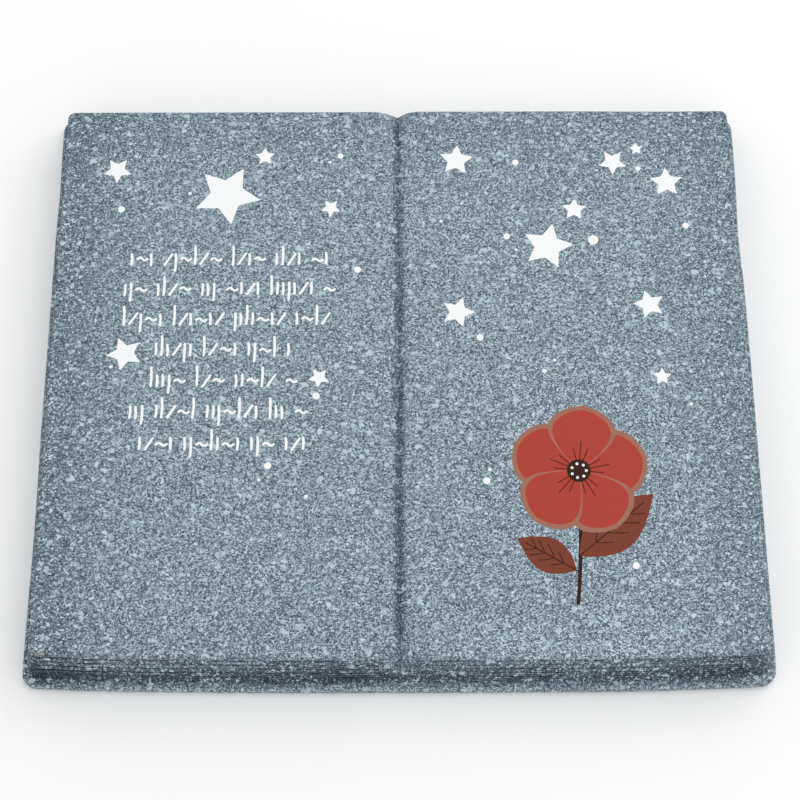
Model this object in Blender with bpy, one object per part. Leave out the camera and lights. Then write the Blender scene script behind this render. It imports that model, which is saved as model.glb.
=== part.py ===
"""Memorial plaque in the shape of an open book, cast in one piece.

The plaque lies on its flat underside. Its origin is the middle of the underside, +X runs across
both pages, +Y runs along the spine to the far end and +Z points up out of the pages. Lengths are
in metres.

The casting is built as one closed skin. Rings of points run round the book, from the rim of the
page tops down the leaning wall of pages to the cover and its underside. Each ring is joined to the
next, and the page tops, the gutter and the underside close the skin.
"""
import math

import bmesh
import bpy

# Cover slab
COVER_WIDTH = 0.180
COVER_DEPTH = 0.1565
COVER_THICKNESS = 0.0030
COVER_CORNER_RADIUS = 0.0036
COVER_EDGE_RADIUS = 0.0008
# The front edge bulges: its middle lies this far in front of its ends
FRONT_BOW = 0.0013

# Strip of cover left bare round the foot of the pages
FLANGE_SIDE = 0.0011
FLANGE_FRONT = 0.0026
FLANGE_BACK = 0.0024

# Block of pages
BLOCK_HEIGHT = 0.0117
# The page wall leans in by this much from its foot to its top, so that the casting leaves its mould
WALL_LEAN = 0.0024
PAGE_EDGE_RADIUS = 0.0005
PAGE_CORNER_RADIUS = 0.0013

# Fine grooves round the wall that stand for the edges of the pages
FIRST_LINE_DROP = 0.0017
LINE_SPACING = 0.0021
LINE_WIDTH = 0.0006
LINE_DEPTH = 0.0003

# Crease between the two pages
CREASE_REACH = 0.0027
CREASE_DEPTH = 0.0020

# Mouths of the gutter, where the crease widens and deepens at the front and back edges
MOUTH_REACH = 0.0060
FRONT_MOUTH_DEPTH = 0.0068
FRONT_MOUTH_RUN = 0.0080
BACK_MOUTH_DEPTH = 0.0050
BACK_MOUTH_RUN = 0.0050
LEFT_SHOULDER_POWER = 1.65
RIGHT_SHOULDER_POWER = 2.60

# How finely the skin is divided
CORNER_STEPS = 6
EDGE_ROUND_STEPS = 3
PAGE_COLUMNS = 4
SIDE_ROWS = 4
GUTTER_COLUMN_SHARES = (0.08, 0.17, 0.27, 0.45, 0.60, 0.78, 1.0)
MOUTH_ROW_SHARES = (0.12, 0.27, 0.44, 0.65, 1.0)

# Cast stone resin, blue-grey
STONE_COLOR = (0.235, 0.313, 0.352, 1.0)
STONE_ROUGHNESS = 0.55

HALF_COVER_WIDTH = COVER_WIDTH / 2
HALF_COVER_DEPTH = COVER_DEPTH / 2
PAGE_TOP = COVER_THICKNESS + BLOCK_HEIGHT
FOOT_HALF_WIDTH = HALF_COVER_WIDTH - FLANGE_SIDE
FOOT_FRONT = -HALF_COVER_DEPTH + FLANGE_FRONT
FOOT_BACK = HALF_COVER_DEPTH - FLANGE_BACK


def clear_scene():
    """Remove the objects that the scene already holds."""
    for old in list(bpy.data.objects):
        bpy.data.objects.remove(old, do_unlink=True)


def stone_material():
    """Blue-grey cast stone with a half matt face."""
    material = bpy.data.materials.new("cast_stone")
    material.use_nodes = True
    shader = material.node_tree.nodes["Principled BSDF"]
    shader.inputs["Base Color"].default_value = STONE_COLOR
    shader.inputs["Roughness"].default_value = STONE_ROUGHNESS
    shader.inputs["Metallic"].default_value = 0.0
    material.diffuse_color = STONE_COLOR
    return material


def gutter_drop(x, front_run, back_run):
    """How far the page top lies below the flat pages at x, these far in from front and back.

    The crease is deepest at the spine and dies out as the square of the reach that is left. At
    each end a wider and deeper mouth takes its place. A mouth fades into the crease as the square
    of the run that is left.
    """
    crease = CREASE_DEPTH * max(0.0, 1.0 - abs(x) / CREASE_REACH) ** 2
    power = LEFT_SHOULDER_POWER if x < 0 else RIGHT_SHOULDER_POWER
    mouth = max(0.0, 1.0 - abs(x) / MOUTH_REACH) ** power
    front_share = max(0.0, 1.0 - front_run / FRONT_MOUTH_RUN) ** 2
    back_share = max(0.0, 1.0 - back_run / BACK_MOUTH_RUN) ** 2
    front_gain = front_share * (FRONT_MOUTH_DEPTH * mouth - crease)
    back_gain = back_share * (BACK_MOUTH_DEPTH * mouth - crease)
    return crease + front_gain + back_gain


def edge_columns(straight_half):
    """X of each point along the front or back edge, from left to right, between the corners."""
    gutter = [share * MOUTH_REACH for share in GUTTER_COLUMN_SHARES]
    page_step = (straight_half - MOUTH_REACH) / PAGE_COLUMNS
    page = [MOUTH_REACH + page_step * (i + 1) for i in range(PAGE_COLUMNS)]
    right = gutter + page
    return [-x for x in reversed(right)] + [0.0] + right


def corner_arc(centre_x, centre_y, radius, start_degrees):
    """Points inside a quarter turn about a centre, without the two ends."""
    points = []
    for i in range(1, CORNER_STEPS):
        angle = math.radians(start_degrees + 90.0 * i / CORNER_STEPS)
        points.append((centre_x + radius * math.cos(angle), centre_y + radius * math.sin(angle)))
    return points


def rounded_outline(half_width, front, back, radius):
    """Rounded rectangle as a list of points, turning left from the front edge's left end."""
    straight_half = half_width - radius
    columns = edge_columns(straight_half)
    low = front + radius
    high = back - radius
    rows = [low + (high - low) * i / SIDE_ROWS for i in range(SIDE_ROWS + 1)]
    points = [(x, front) for x in columns]
    points += corner_arc(straight_half, low, radius, -90.0)
    points += [(half_width, y) for y in rows]
    points += corner_arc(straight_half, high, radius, 0.0)
    points += [(x, back) for x in reversed(columns)]
    points += corner_arc(-straight_half, high, radius, 90.0)
    points += [(-half_width, y) for y in reversed(rows)]
    points += corner_arc(-straight_half, low, radius, 180.0)
    return points


def bowed(x, y, z):
    """The point with the front edge's bulge put in: its ends draw back, the back edge stays."""
    draw_back = FRONT_BOW * (x / HALF_COVER_WIDTH) ** 2
    front_share = (HALF_COVER_DEPTH - y) / COVER_DEPTH
    return (x, y + draw_back * front_share, z)


def block_ring(skin, drop, inset):
    """Ring round the page block at this drop below the pages, set in from the leaning wall.

    At the gutter the ring starts lower and its drop shrinks in step, so that the page lines dip
    towards the spine and all meet the cover at the same height.
    """
    lean = WALL_LEAN * (1.0 - drop / BLOCK_HEIGHT)
    radius = PAGE_CORNER_RADIUS + PAGE_EDGE_RADIUS - inset + WALL_LEAN - lean
    front = FOOT_FRONT + lean + inset
    back = FOOT_BACK - lean - inset
    outline = rounded_outline(FOOT_HALF_WIDTH - lean - inset, front, back, radius)
    ring = []
    for x, y in outline:
        front_run = 0.0 if y < 0 else COVER_DEPTH
        dip = gutter_drop(x, front_run, COVER_DEPTH - front_run) * (1.0 - drop / BLOCK_HEIGHT)
        outward = WALL_LEAN * dip / BLOCK_HEIGHT
        y += math.copysign(outward, y)
        ring.append(skin.verts.new(bowed(x, y, PAGE_TOP - drop - dip)))
    return ring


def cover_ring(skin, height, inset):
    """Ring round the cover at this height, set in from its side."""
    outline = rounded_outline(
        HALF_COVER_WIDTH - inset,
        -HALF_COVER_DEPTH + inset,
        HALF_COVER_DEPTH - inset,
        COVER_CORNER_RADIUS - inset,
    )
    return [skin.verts.new(bowed(x, y, height)) for x, y in outline]


def join_rings(skin, upper, lower):
    """Skin between two rings that have the same number of points."""
    count = len(upper)
    for i in range(count):
        j = (i + 1) % count
        skin.faces.new((upper[i], lower[i], lower[j], upper[j]))


def round_steps():
    """Share of a quarter round's radius still to go, across and down, at each of its steps."""
    steps = []
    for i in range(EDGE_ROUND_STEPS + 1):
        angle = 0.5 * math.pi * i / EDGE_ROUND_STEPS
        steps.append((1.0 - math.sin(angle), 1.0 - math.cos(angle)))
    return steps


def page_line_count():
    """Number of grooves that fit on the wall above its foot."""
    room = BLOCK_HEIGHT - FIRST_LINE_DROP - LINE_WIDTH
    return int(room / LINE_SPACING) + 1


def block_rings(skin):
    """All rings of the page block, from the rim of the page tops to the foot of the wall."""
    rings = []
    for across, down in round_steps():
        rings.append(block_ring(skin, PAGE_EDGE_RADIUS * down, PAGE_EDGE_RADIUS * across))
    for i in range(page_line_count()):
        middle = FIRST_LINE_DROP + i * LINE_SPACING
        rings.append(block_ring(skin, middle - LINE_WIDTH / 2, 0.0))
        rings.append(block_ring(skin, middle, LINE_DEPTH))
        rings.append(block_ring(skin, middle + LINE_WIDTH / 2, 0.0))
    rings.append(block_ring(skin, BLOCK_HEIGHT, 0.0))
    return rings


def cover_rings(skin):
    """All rings of the cover, from the top of its rounded edge to the underside."""
    rings = []
    for across, down in round_steps():
        height = COVER_THICKNESS - COVER_EDGE_RADIUS * down
        rings.append(cover_ring(skin, height, COVER_EDGE_RADIUS * across))
    for across, down in reversed(round_steps()):
        rings.append(cover_ring(skin, COVER_EDGE_RADIUS * down, COVER_EDGE_RADIUS * across))
    return rings


def gutter_columns(skin, rim):
    """Columns of points that run along the gutter, from the rim's front edge to its back edge."""
    column_count = 2 * (PAGE_COLUMNS + len(GUTTER_COLUMN_SHARES)) + 1
    back_start = column_count + (CORNER_STEPS - 1) * 2 + SIDE_ROWS + 1
    columns = []
    for i in range(PAGE_COLUMNS, column_count - PAGE_COLUMNS):
        front_point = rim[i]
        back_point = rim[back_start + column_count - 1 - i]
        length = back_point.co.y - front_point.co.y
        front_runs = [FRONT_MOUTH_RUN * share for share in MOUTH_ROW_SHARES]
        back_runs = [length - BACK_MOUTH_RUN * share for share in reversed(MOUTH_ROW_SHARES)]
        column = [front_point]
        for run in front_runs + back_runs:
            x = front_point.co.x
            height = PAGE_TOP - gutter_drop(x, run, length - run)
            column.append(skin.verts.new((x, front_point.co.y + run, height)))
        column.append(back_point)
        columns.append(column)
    return columns


def close_page_tops(skin, rim):
    """Skin over the gutter and over the two flat pages beside it."""
    columns = gutter_columns(skin, rim)
    for left, right in zip(columns, columns[1:]):
        for i in range(len(left) - 1):
            skin.faces.new((left[i], right[i], right[i + 1], left[i + 1]))
    right_start = rim.index(columns[-1][0])
    right_end = rim.index(columns[-1][-1])
    skin.faces.new(rim[right_start:right_end + 1] + columns[-1][-2:0:-1])
    left_start = rim.index(columns[0][-1])
    left_end = rim.index(columns[0][0])
    skin.faces.new(rim[left_start:] + rim[:left_end + 1] + columns[0][1:-1])


def open_book(material):
    """The whole casting: cover, page block, page lines and gutter as one closed solid."""
    skin = bmesh.new()
    block = block_rings(skin)
    rings = block + cover_rings(skin)
    for upper, lower in zip(rings, rings[1:]):
        join_rings(skin, upper, lower)
    close_page_tops(skin, block[0])
    skin.faces.new(list(reversed(rings[-1])))
    bmesh.ops.recalc_face_normals(skin, faces=skin.faces)
    mesh = bpy.data.meshes.new("open_book")
    skin.to_mesh(mesh)
    skin.free()
    mesh.materials.append(material)
    book = bpy.data.objects.new("open_book", mesh)
    bpy.context.collection.objects.link(book)
    return book


def main():
    clear_scene()
    open_book(stone_material())


if __name__ == "__main__":
    main()
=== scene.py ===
"""Memorial plaque in the shape of an open book: its finished surface, print, light and camera.

The file is laid out as a Blender add-on and run as a script. The casting is finer than the solid
that it stands for, and the printed shapes are cut into its page tops. Lengths are in metres.
"""

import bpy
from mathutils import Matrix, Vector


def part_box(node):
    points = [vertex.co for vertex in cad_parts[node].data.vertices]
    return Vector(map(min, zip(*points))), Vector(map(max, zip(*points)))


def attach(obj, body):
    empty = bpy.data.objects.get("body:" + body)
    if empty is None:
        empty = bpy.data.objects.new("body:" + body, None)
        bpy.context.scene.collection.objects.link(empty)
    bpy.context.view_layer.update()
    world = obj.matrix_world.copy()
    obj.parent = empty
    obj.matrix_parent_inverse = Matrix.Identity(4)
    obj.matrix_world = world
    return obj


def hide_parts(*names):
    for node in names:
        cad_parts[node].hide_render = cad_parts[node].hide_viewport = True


bl_info = {
    "name": "Open book memorial plaque",
    "version": (1, 0, 0),
    "blender": (4, 5, 0),
    "location": "3D View > Sidebar > Plaque",
    "description": "Casts a speckled open book plaque with printed pages and lights it on a pale floor",
    "category": "Object",
}

import math

import bpy
import numpy as np
from bpy.props import FloatProperty, FloatVectorProperty, PointerProperty
from mathutils import Vector
from mathutils.geometry import delaunay_2d_cdt

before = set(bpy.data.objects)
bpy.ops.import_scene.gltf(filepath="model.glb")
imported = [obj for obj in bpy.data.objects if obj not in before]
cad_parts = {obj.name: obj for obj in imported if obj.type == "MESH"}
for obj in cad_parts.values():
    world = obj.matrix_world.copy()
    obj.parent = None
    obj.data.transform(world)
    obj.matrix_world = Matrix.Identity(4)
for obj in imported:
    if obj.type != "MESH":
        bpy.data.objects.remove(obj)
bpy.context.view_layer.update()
BOOK_LOW, BOOK_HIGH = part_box("open_book")

HALF_WIDTH = BOOK_HIGH.x
HALF_DEPTH = BOOK_HIGH.y
PAGE_TOP = BOOK_HIGH.z
MM = 0.001

# How finely the casting is divided
PAGE_COLUMNS = 62
GUTTER_COLUMNS = 20
SIDE_ROWS = 120
CORNER_STEPS = 10
EDGE_STEPS = 6
WALL_ROWS = 76
FILLET_STEPS = 4
RING_ROWS = 16
GUTTER_ROWS = 60
CAP_STEPS = 7
DOT_STEPS = 24
LEAF_STEPS = 26
STEM_STEPS = 20
RIB_STEPS = 8
VEIN_STEPS = 6
RAY_STEPS = 5
STROKE_STEPS = 7

# Points of the outline's front or back edge, and the number of the back edge's first point
EDGE_POINTS = 2 * (GUTTER_COLUMNS + PAGE_COLUMNS) + 1
BACK_START = EDGE_POINTS + 2 * (CORNER_STEPS - 1) + SIDE_ROWS + 1

# How the print is cut into the pages: only triangles inside the border are kept, and points this
# near, in millimetres, count as one
ONLY_INSIDE = 1
CUT_TOLERANCE = 1e-6

# Powers that crowd the gutter's columns to its middle and the ring's rows to the rim, and the rows
# on the bare cover as shares of its width
GUTTER_CROWDING = 1.3
RING_CROWDING = 1.5
FLANGE_ROWS = (0.3, 0.6, 0.85)

# Least corner radius of the page block, and the share of the room in front that a bulge may fill
LEAST_RADIUS = 0.2 * MM
BULGE_ROOM = 0.7

# Page lines: how far they waver, the half width of their bell as a share of the line's width, the
# first main line's strength and its loss with each half spacing, the faint lines' strength and its
# gain to the right side, how far the strength comes and goes, and the least strength
LINE_WANDER = 0.12 * MM
LINE_BELL = 0.42
MAIN_STRENGTH = 1.20
MAIN_LOSS = 0.10
FAINT_STRENGTH = 0.15
FAINT_RISE = 0.30
STRENGTH_SWING = 0.8
LEAST_STRENGTH = 0.05

# The grain is a little wider than deep, and taller on the walls
GRAIN_STRETCH = (0.96, 1.12, 0.6)

# Noise that makes the grains and the larger droplets ragged: scale and reach
GRAIN_WARP = (1300.0, 0.0004)
DROPLET_WARP = (900.0, 0.0016)

# Tone of the grains: a random value to this power, times the spread, plus the lift. Both are given
# as what a full spray adds and what bare stone has. The stops are the tones of the three colours.
GRAIN_POWER = 1.35
GRAIN_STOPS = (0.0, 0.5, 0.92)
TONE_LIFT = (0.105, 0.0)
TONE_SPREAD = (0.61, 0.14)

# Share of a droplet's tone and share of a droplet that shows, given in the same way. The second
# reaches its full value where the spray is this thick.
DROPLET_TONE = (-0.08, 1.08)
DROPLET_HOLD = (0.67, 0.25)
FULL_HOLD = 0.3

# Droplets, from small to large: cells per metre, least and largest radius as shares of a cell, width
# of the soft edge, lowest tone and the range of tones above it. A radius below 0 leaves a cell empty.
DROPLETS = (
    (2600.0, -0.15, 0.72, 0.15, 0.46, 0.54),
    (950.0, -0.44, 0.60, 0.13, 0.60, 0.27),
    (520.0, -0.42, 0.49, 0.12, 0.64, 0.20),
)

# How thinly the stone is sprayed, from below 0 where the spray is thick to 1 where the stone is bare:
# on the cover; on the page wall below its rim and at its foot, where it is partly thinner spray and
# partly painted shade; and in the page lines and in the crease, where it is painted shade, with the
# crease's loss towards the back
COVER_BARE = -0.12
WALL_BARE_AND_SHADE = 0.25
FOOT_BARE_AND_SHADE = 0.42
LINE_SHADE = 1.3
CREASE_SHADE = 0.42
CREASE_SHADE_LOSS = 0.16

# Shares of the wall's height between which the foot's thinner spray and painted shade begin, the
# patches in it, and what of it goes on over the cover beside it as the wall's painted shadow. Both
# lose a little to the right, as painted light from the right side.
FOOT_RANGE = (0.3, 0.85)
PATCH_MEAN = 0.9
PATCH_SWING = 0.3
PATCH_LOSS = 0.1
FLANGE_SHADOW = 0.45
FLANGE_SHADOW_LOSS = 0.3

# Distances from the front between which the crease's painted shade begins, and half its width
CREASE_RANGE = (3.0 * MM, 6.5 * MM)
CREASE_HALF_WIDTH = 1.3 * MM

# What is left of the page lines and of the wall's thinner spray and painted shade along the two sides
SIDE_LINE_SHARE = 0.65
SIDE_BARE_AND_SHADE_SHARE = 0.25

# Painted shade towards each edge of the pages, strongest on the left, away from the light: axis, place
# of the edge and strength
SHADED_EDGES = (("X", -0.086, 0.29), ("X", 0.086, 0.18), ("Y", 0.073, 0.15), ("Y", -0.073, 0.08))

# Shares of the way from the middle to such an edge where this starts and where it is full
SHADED_EDGE_RANGE = (0.72, 1.02)

# Spots on the page rim as middle and reach: one that lightens the stone on the right of the front rim,
# and the brownish mark, which is strong in the front left corner and runs out along the rim
LIGHTER_SPOT = ((0.046, -0.0726, 0.0147), (0.060, 0.013, 0.0022))
STRONG_STAIN = ((-0.0855, -0.0720, 0.0144), (0.0062, 0.0016, 0.0016))
FAINT_STAIN = ((-0.066, -0.0728, 0.0130), (0.032, 0.0012, 0.0016))
LIGHTER_SPOT_GAIN = 0.24
STRONG_GAIN = 1.4
WEAK_GAIN = 0.7

# How strongly the matt surfaces reflect, and the depth and strength of their bump
STONE_GLOSS = 0.2
INK_GLOSS = 0.15
STONE_BUMP = (0.00005, 0.4)
INK_BUMP = (0.00002, 0.3)
INK_GRAIN = 0.0005
INK_SHADE = 0.97

# Tints between which the grains vary, and the noise that breaks up the brownish mark as scale,
# detail and roughness, with the values between which it grows
WARM_TINT = (1.0, 0.98, 0.96)
COOL_TINT = (0.92, 0.97, 1.0)
STAIN_CLOUD = (900.0, 2.0, 0.6)
STAIN_RANGE = (0.2, 0.5)

# Inks, in the order of the casting's material slots
STONE, WHITE, RED, TAN, BROWN, DARK = range(6)

# Shallow dents in the cast edge, or bulges where the depth is negative: x and y of the middle,
# reach along x and y, and depth, in millimetres
DENTS = (
    (-85.0, -78.0, 6.0, 4.0, 0.20),
    (2.0, -78.0, 24.0, 4.0, 0.12),
    (57.0, -78.0, 20.0, 4.0, -0.22),
    (72.0, 78.0, 22.0, 4.0, 0.17),
    (89.0, -77.0, 4.0, 4.0, 0.28),
    (90.0, 43.0, 4.0, 11.0, 0.50),
    (-90.0, 57.0, 4.0, 7.0, 0.22),
    (-90.0, -38.0, 4.0, 20.0, 0.27),
)

# Printed stars on the page tops: x, y and radius in millimetres, turn in degrees
STAR_INNER_SHARE = 0.5
STARS = (
    (-72.6, 56.0, 3.75, 36.0),
    (-44.0, 48.7, 8.7, -27.7),
    (-34.5, 59.9, 2.7, 2.0),
    (-17.3, 44.8, 2.6, 34.0),
    (-68.0, 4.2, 4.6, 23.7),
    (-19.7, -2.4, 2.7, 30.5),
    (15.1, 58.7, 4.5, -4.8),
    (62.0, 61.9, 1.85, 4.0),
    (55.7, 58.0, 3.7, 34.0),
    (69.3, 52.0, 4.3, 1.5),
    (45.2, 44.2, 3.2, -3.0),
    (38.0, 33.7, 6.6, -13.5),
    (63.0, 17.3, 4.05, 14.7),
    (14.9, 15.3, 4.25, -18.5),
    (65.1, -2.4, 2.4, -2.0),
)
# Printed dots on the page tops: x, y and radius in millimetres
DOTS = (
    (-14.9, 60.0, 0.76), (-17.7, 58.2, 0.36), (-53.6, 49.2, 0.46), (-71.0, 44.6, 0.90),
    (-10.3, 27.2, 0.88), (-71.2, 0.7, 0.44), (-20.3, -7.3, 0.90), (-31.8, -25.5, 0.88),
    (-33.8, -29.1, 0.41), (-22.4, -33.4, 0.45), (30.5, 58.0, 0.86), (62.2, 56.1, 0.73),
    (11.0, 40.9, 0.43), (73.5, 39.5, 0.83), (27.7, 36.5, 0.86), (30.0, 32.7, 0.38),
    (49.7, 35.4, 1.33), (20.3, 8.3, 0.88), (38.7, 2.1, 0.44), (36.1, -0.8, 0.55),
    (71.8, -9.7, 0.44), (22.0, -26.6, 0.45), (21.2, -29.5, 0.88), (56.1, -50.9, 0.86),
)

# Rows of strokes in the verse's place, as left end and right end. The strokes and the flower are in
# millimetres, as are the stars and dots.
STROKE_ROWS = (
    (-67.6, -17.2), (-68.9, -15.6), (-68.7, -16.2), (-60.3, -26.3),
    (-61.1, -23.4), (-65.9, -20.9), (-63.2, -21.2),
)
FIRST_ROW_Y = 28.8
ROW_SPACING = 8.33
STROKE_SEED = 11

# Kinds of stroke: room that it takes, length along x, height of its start, rise and wave. The first
# three are bars without a length, which lean and bend a little.
STROKE_KINDS = {
    "tall": (1.45, 0.0, 0.0, 5.0, 0.0),
    "low": (1.45, 0.0, 0.0, 2.9, 0.0),
    "deep": (1.45, 0.0, -1.7, 4.6, 0.0),
    "slant": (2.7, 1.8, 0.0, 2.9, 0.0),
    "wave": (3.5, 2.5, 1.4, 0.0, 0.40),
}
STROKE_ORDER = (
    "low", "wave", "tall", "low", "slant", "low", "deep", "wave", "low", "tall", "slant",
)
BAR_LEAN = 0.12
BAR_BEND = 0.10
STROKE_LIFT = 0.2
STROKE_FLOOR_SHARE = 0.6

# Ranges of whole numbers, each without its end: strokes in a row's first group and in the next ones,
# and steps through the order of the kinds
FIRST_GROUP = (3, 7)
NEXT_GROUP = (3, 8)
ORDER_STEP = (1, 3)

# Gap between groups of strokes, least room for another stroke, and how far the last one may reach
# past the end of its row
GROUP_GAP = 2.0
LEAST_ROOM = 1.0
OVERHANG = 1.5

# Printed flower: its middle and petals, the stem with its sideways curve, the leaves as base, degrees,
# length and width, their rib and veins as shares, the rays as degrees and length, and the heart
FLOWER_CENTRE = (43.5, -27.0)
PETAL_COUNT = 5
PETAL_LENGTH = 17.0
PETAL_WIDTH = 16.5
PETAL_RIM = 1.1
PETAL_FORM = (1.5, 0.62)
FLOWER_TURN = 12.0
STEM_FOOT = (42.0, -60.0)
STEM_HEIGHT = 30.0
STEM_CURVE = (4.0, -5.0, 3.5)
STEM_HALF_WIDTH = 0.45
LEAVES = (((42.0, -52.0), 150.0, 16.0, 8.5), ((42.8, -48.5), 40.0, 24.0, 12.0))
LEAF_FORM = (0.9, 1.0)
RIB_RANGE = (-0.02, 0.86)
VEIN_STARTS = (0.22, 0.38, 0.54, 0.68)
VEIN_DEGREES = 48.0
VEIN_SHIFT = 0.08
VEIN_REACH = 0.36
VEIN_BEND = 0.8
RIB_HALF_WIDTH = 0.13
VEIN_HALF_WIDTH = 0.11
RAYS = ((-17.0, 6.0), (0.0, 7.5), (17.0, 6.0))
HEART_RADIUS = 2.9
HEART_DOTS = 7
HEART_RING = 1.8
HEART_DOT_RADIUS = 0.36

# Camera at the photo's viewing angle
CAMERA_ELEVATION = 68.0
CAMERA_AZIMUTH = 0.2
CAMERA_DISTANCE = 0.4525
CAMERA_LENS = 80.0
CAMERA_TARGET = (0.00034, -0.0025, 0.0)

# Stage: place and size of the soft light, half the floor's width, its noise as scale, detail and
# roughness, its darkest shade and how matt it is
KEY_PLACE = (0.45, 0.35, 0.85)
KEY_SIZE = 0.9
FLOOR_HALF = 3.0
FLOOR_CLOUD = (6.0, 2.0, 0.5)
FLOOR_SHADE = 0.985
FLOOR_ROUGHNESS = 0.9


def distance(name, description, default):
    """Length property that a user can change."""
    return FloatProperty(
        name=name, description=description, default=default, min=0.0, unit="LENGTH",
        subtype="DISTANCE", precision=5,
    )


def plain_number(name, description, default):
    """Number property without a unit."""
    return FloatProperty(name=name, description=description, default=default)


def tint(name, description, default):
    """Colour property with its default as linear red, green and blue."""
    return FloatVectorProperty(
        name=name, description=description, default=default, size=3, min=0.0, max=1.0,
        subtype="COLOR",
    )


def srgb(red, green, blue):
    """Linear colour for screen values from 0 to 255."""
    values = np.array([red, green, blue]) / 255.0
    linear = np.where(values <= 0.04045, values / 12.92, ((values + 0.055) / 1.055) ** 2.4)
    return tuple(float(v) for v in linear)


class CastingSizes(bpy.types.PropertyGroup):
    """Sizes of the casting that its outer box doesn't give."""

    cover_thickness: distance("Cover thickness", "Height of the cover slab", 0.0030)
    cover_corner: distance("Cover corner", "Radius of the cover's corners in plan", 0.0033)
    cover_edge: distance("Cover edge", "Radius of the cover's rounded edge", 0.0008)
    front_bow: distance("Front bow", "How far the front edge's middle lies before its ends", 0.0013)
    flange_side: distance("Side flange", "Bare cover beside the pages", 0.0011)
    flange_front: distance("Front flange", "Bare cover in front of the pages", 0.0026)
    flange_back: distance("Back flange", "Bare cover behind the pages", 0.0024)
    wall_lean: distance("Wall lean", "How far the page wall leans in from foot to top", 0.0024)
    page_edge: distance("Page edge", "Radius of the page tops' rounded edge", 0.0005)
    page_corner: distance("Page corner", "Radius of the flat pages' corners in plan", 0.0013)
    foot_fillet: distance("Foot fillet", "Radius of the hollow at the foot of the page wall", 0.0004)
    first_line: distance("First page line", "Drop of the topmost page line", 0.0017)
    line_spacing: distance("Page line spacing", "Drop from one page line to the next", 0.0021)
    line_width: distance("Page line width", "Width of a page line", 0.0005)
    line_depth: distance("Page line depth", "Depth of a page line", 0.0005)
    gutter_reach: distance("Gutter reach", "Half width of the gutter at its two ends", 0.0060)
    crease_reach: distance("Crease reach", "Half width of the gutter between its ends", 0.0027)
    gutter_depth: distance("Gutter depth", "Depth of the gutter between its ends", 0.0020)
    front_mouth_depth: distance("Front mouth depth", "Depth of the gutter at the front edge", 0.0068)
    front_mouth_run: distance("Front mouth run", "Length of the gutter's widened front end", 0.0080)
    back_mouth_depth: distance("Back mouth depth", "Depth of the gutter at the back edge", 0.0050)
    back_mouth_run: distance("Back mouth run", "Length of the gutter's widened back end", 0.0050)
    left_shoulder: plain_number("Left shoulder power", "How sharply the left page turns down", 1.65)
    right_shoulder: plain_number("Right shoulder power", "How sharply the right page turns down", 2.6)
    stroke_width: distance("Stroke width", "Width of a stroke of the verse", 0.00064)
    stroke_depth: distance("Stroke depth", "Depth of a stroke of the verse", 0.00008)
    edge_wave: distance("Edge wave", "Unevenness of the cast edges", 0.00010)


class StoneLook(bpy.types.PropertyGroup):
    """Colours and grain of the cast stone."""

    dark_grain: tint("Dark grain", "Colour of the bare stone under the spray", srgb(16, 29, 44))
    middle_grain: tint("Middle grain", "Colour of the common grains", srgb(115, 133, 145))
    light_grain: tint("Light grain", "Colour of the lightest droplets", srgb(207, 223, 231))
    stain: tint("Stain", "Tint of the brownish mark at the front left corner", (0.94, 0.79, 0.70))
    grain_size: distance("Grain size", "Size of the common grains", 0.00025)
    roughness: plain_number("Roughness", "Roughness of the stone", 0.58)


class PrintLook(bpy.types.PropertyGroup):
    """Ink colours of the printed shapes."""

    white: tint("White", "Stars, dots and strokes", srgb(241, 242, 243))
    red: tint("Red", "Petals", srgb(171, 62, 48))
    tan: tint("Tan", "Petal rims", srgb(156, 106, 88))
    brown: tint("Brown", "Leaves", srgb(119, 58, 42))
    dark: tint("Dark", "Stem, veins and flower centre", srgb(48, 20, 4))
    roughness: plain_number("Roughness", "Roughness of the ink", 0.5)


class StudioLook(bpy.types.PropertyGroup):
    """Light and floor."""

    floor: tint("Floor", "Colour of the floor", (0.95, 0.95, 0.95))
    key_power: FloatProperty(
        name="Key light", description="Power of the large soft light", default=3.2, unit="POWER"
    )
    sky_strength: plain_number("Sky", "Strength of the even light from all round", 0.86)


def smooth_share(value, low, high):
    """Share from 0 to 1 as the value goes from low to high, with a level start and end."""
    share = np.clip((value - low) / (high - low), 0.0, 1.0)
    return share * share * (3.0 - 2.0 * share)


def gutter_drop(sizes, x, front_run, back_run):
    """Drop of the page top below the flat pages, these far in from the front and back edges.

    The crease is the middle depth times the square of the share of its reach that is left. At
    each end the gutter widens and deepens: there its drop is the end's depth times a power of the
    share of the wider reach, and it fades into the crease with the square of the run left.
    """
    crease = sizes.gutter_depth * np.clip(1.0 - np.abs(x) / sizes.crease_reach, 0.0, 1.0) ** 2
    power = np.where(x < 0.0, sizes.left_shoulder, sizes.right_shoulder)
    mouth = np.clip(1.0 - np.abs(x) / sizes.gutter_reach, 0.0, 1.0) ** power
    front_share = np.clip(1.0 - front_run / sizes.front_mouth_run, 0.0, 1.0) ** 2
    back_share = np.clip(1.0 - back_run / sizes.back_mouth_run, 0.0, 1.0) ** 2
    front_gain = front_share * (sizes.front_mouth_depth * mouth - crease)
    back_gain = back_share * (sizes.back_mouth_depth * mouth - crease)
    return crease + front_gain + back_gain


def closed_wave(around, turns, seed):
    """Gentle wave round the book: the mean of sines with whole turns, each with its own start."""
    starts = np.random.default_rng(seed).uniform(0.0, math.tau, len(turns))
    phase = math.tau * np.outer(turns, around) + starts[:, None]
    return np.sin(phase).mean(axis=0)


def share_rows(*columns):
    """One row of shares for each point: fixed x, straight x, round x, front, back and round y."""
    return np.stack(np.broadcast_arrays(*columns), axis=1)


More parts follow.
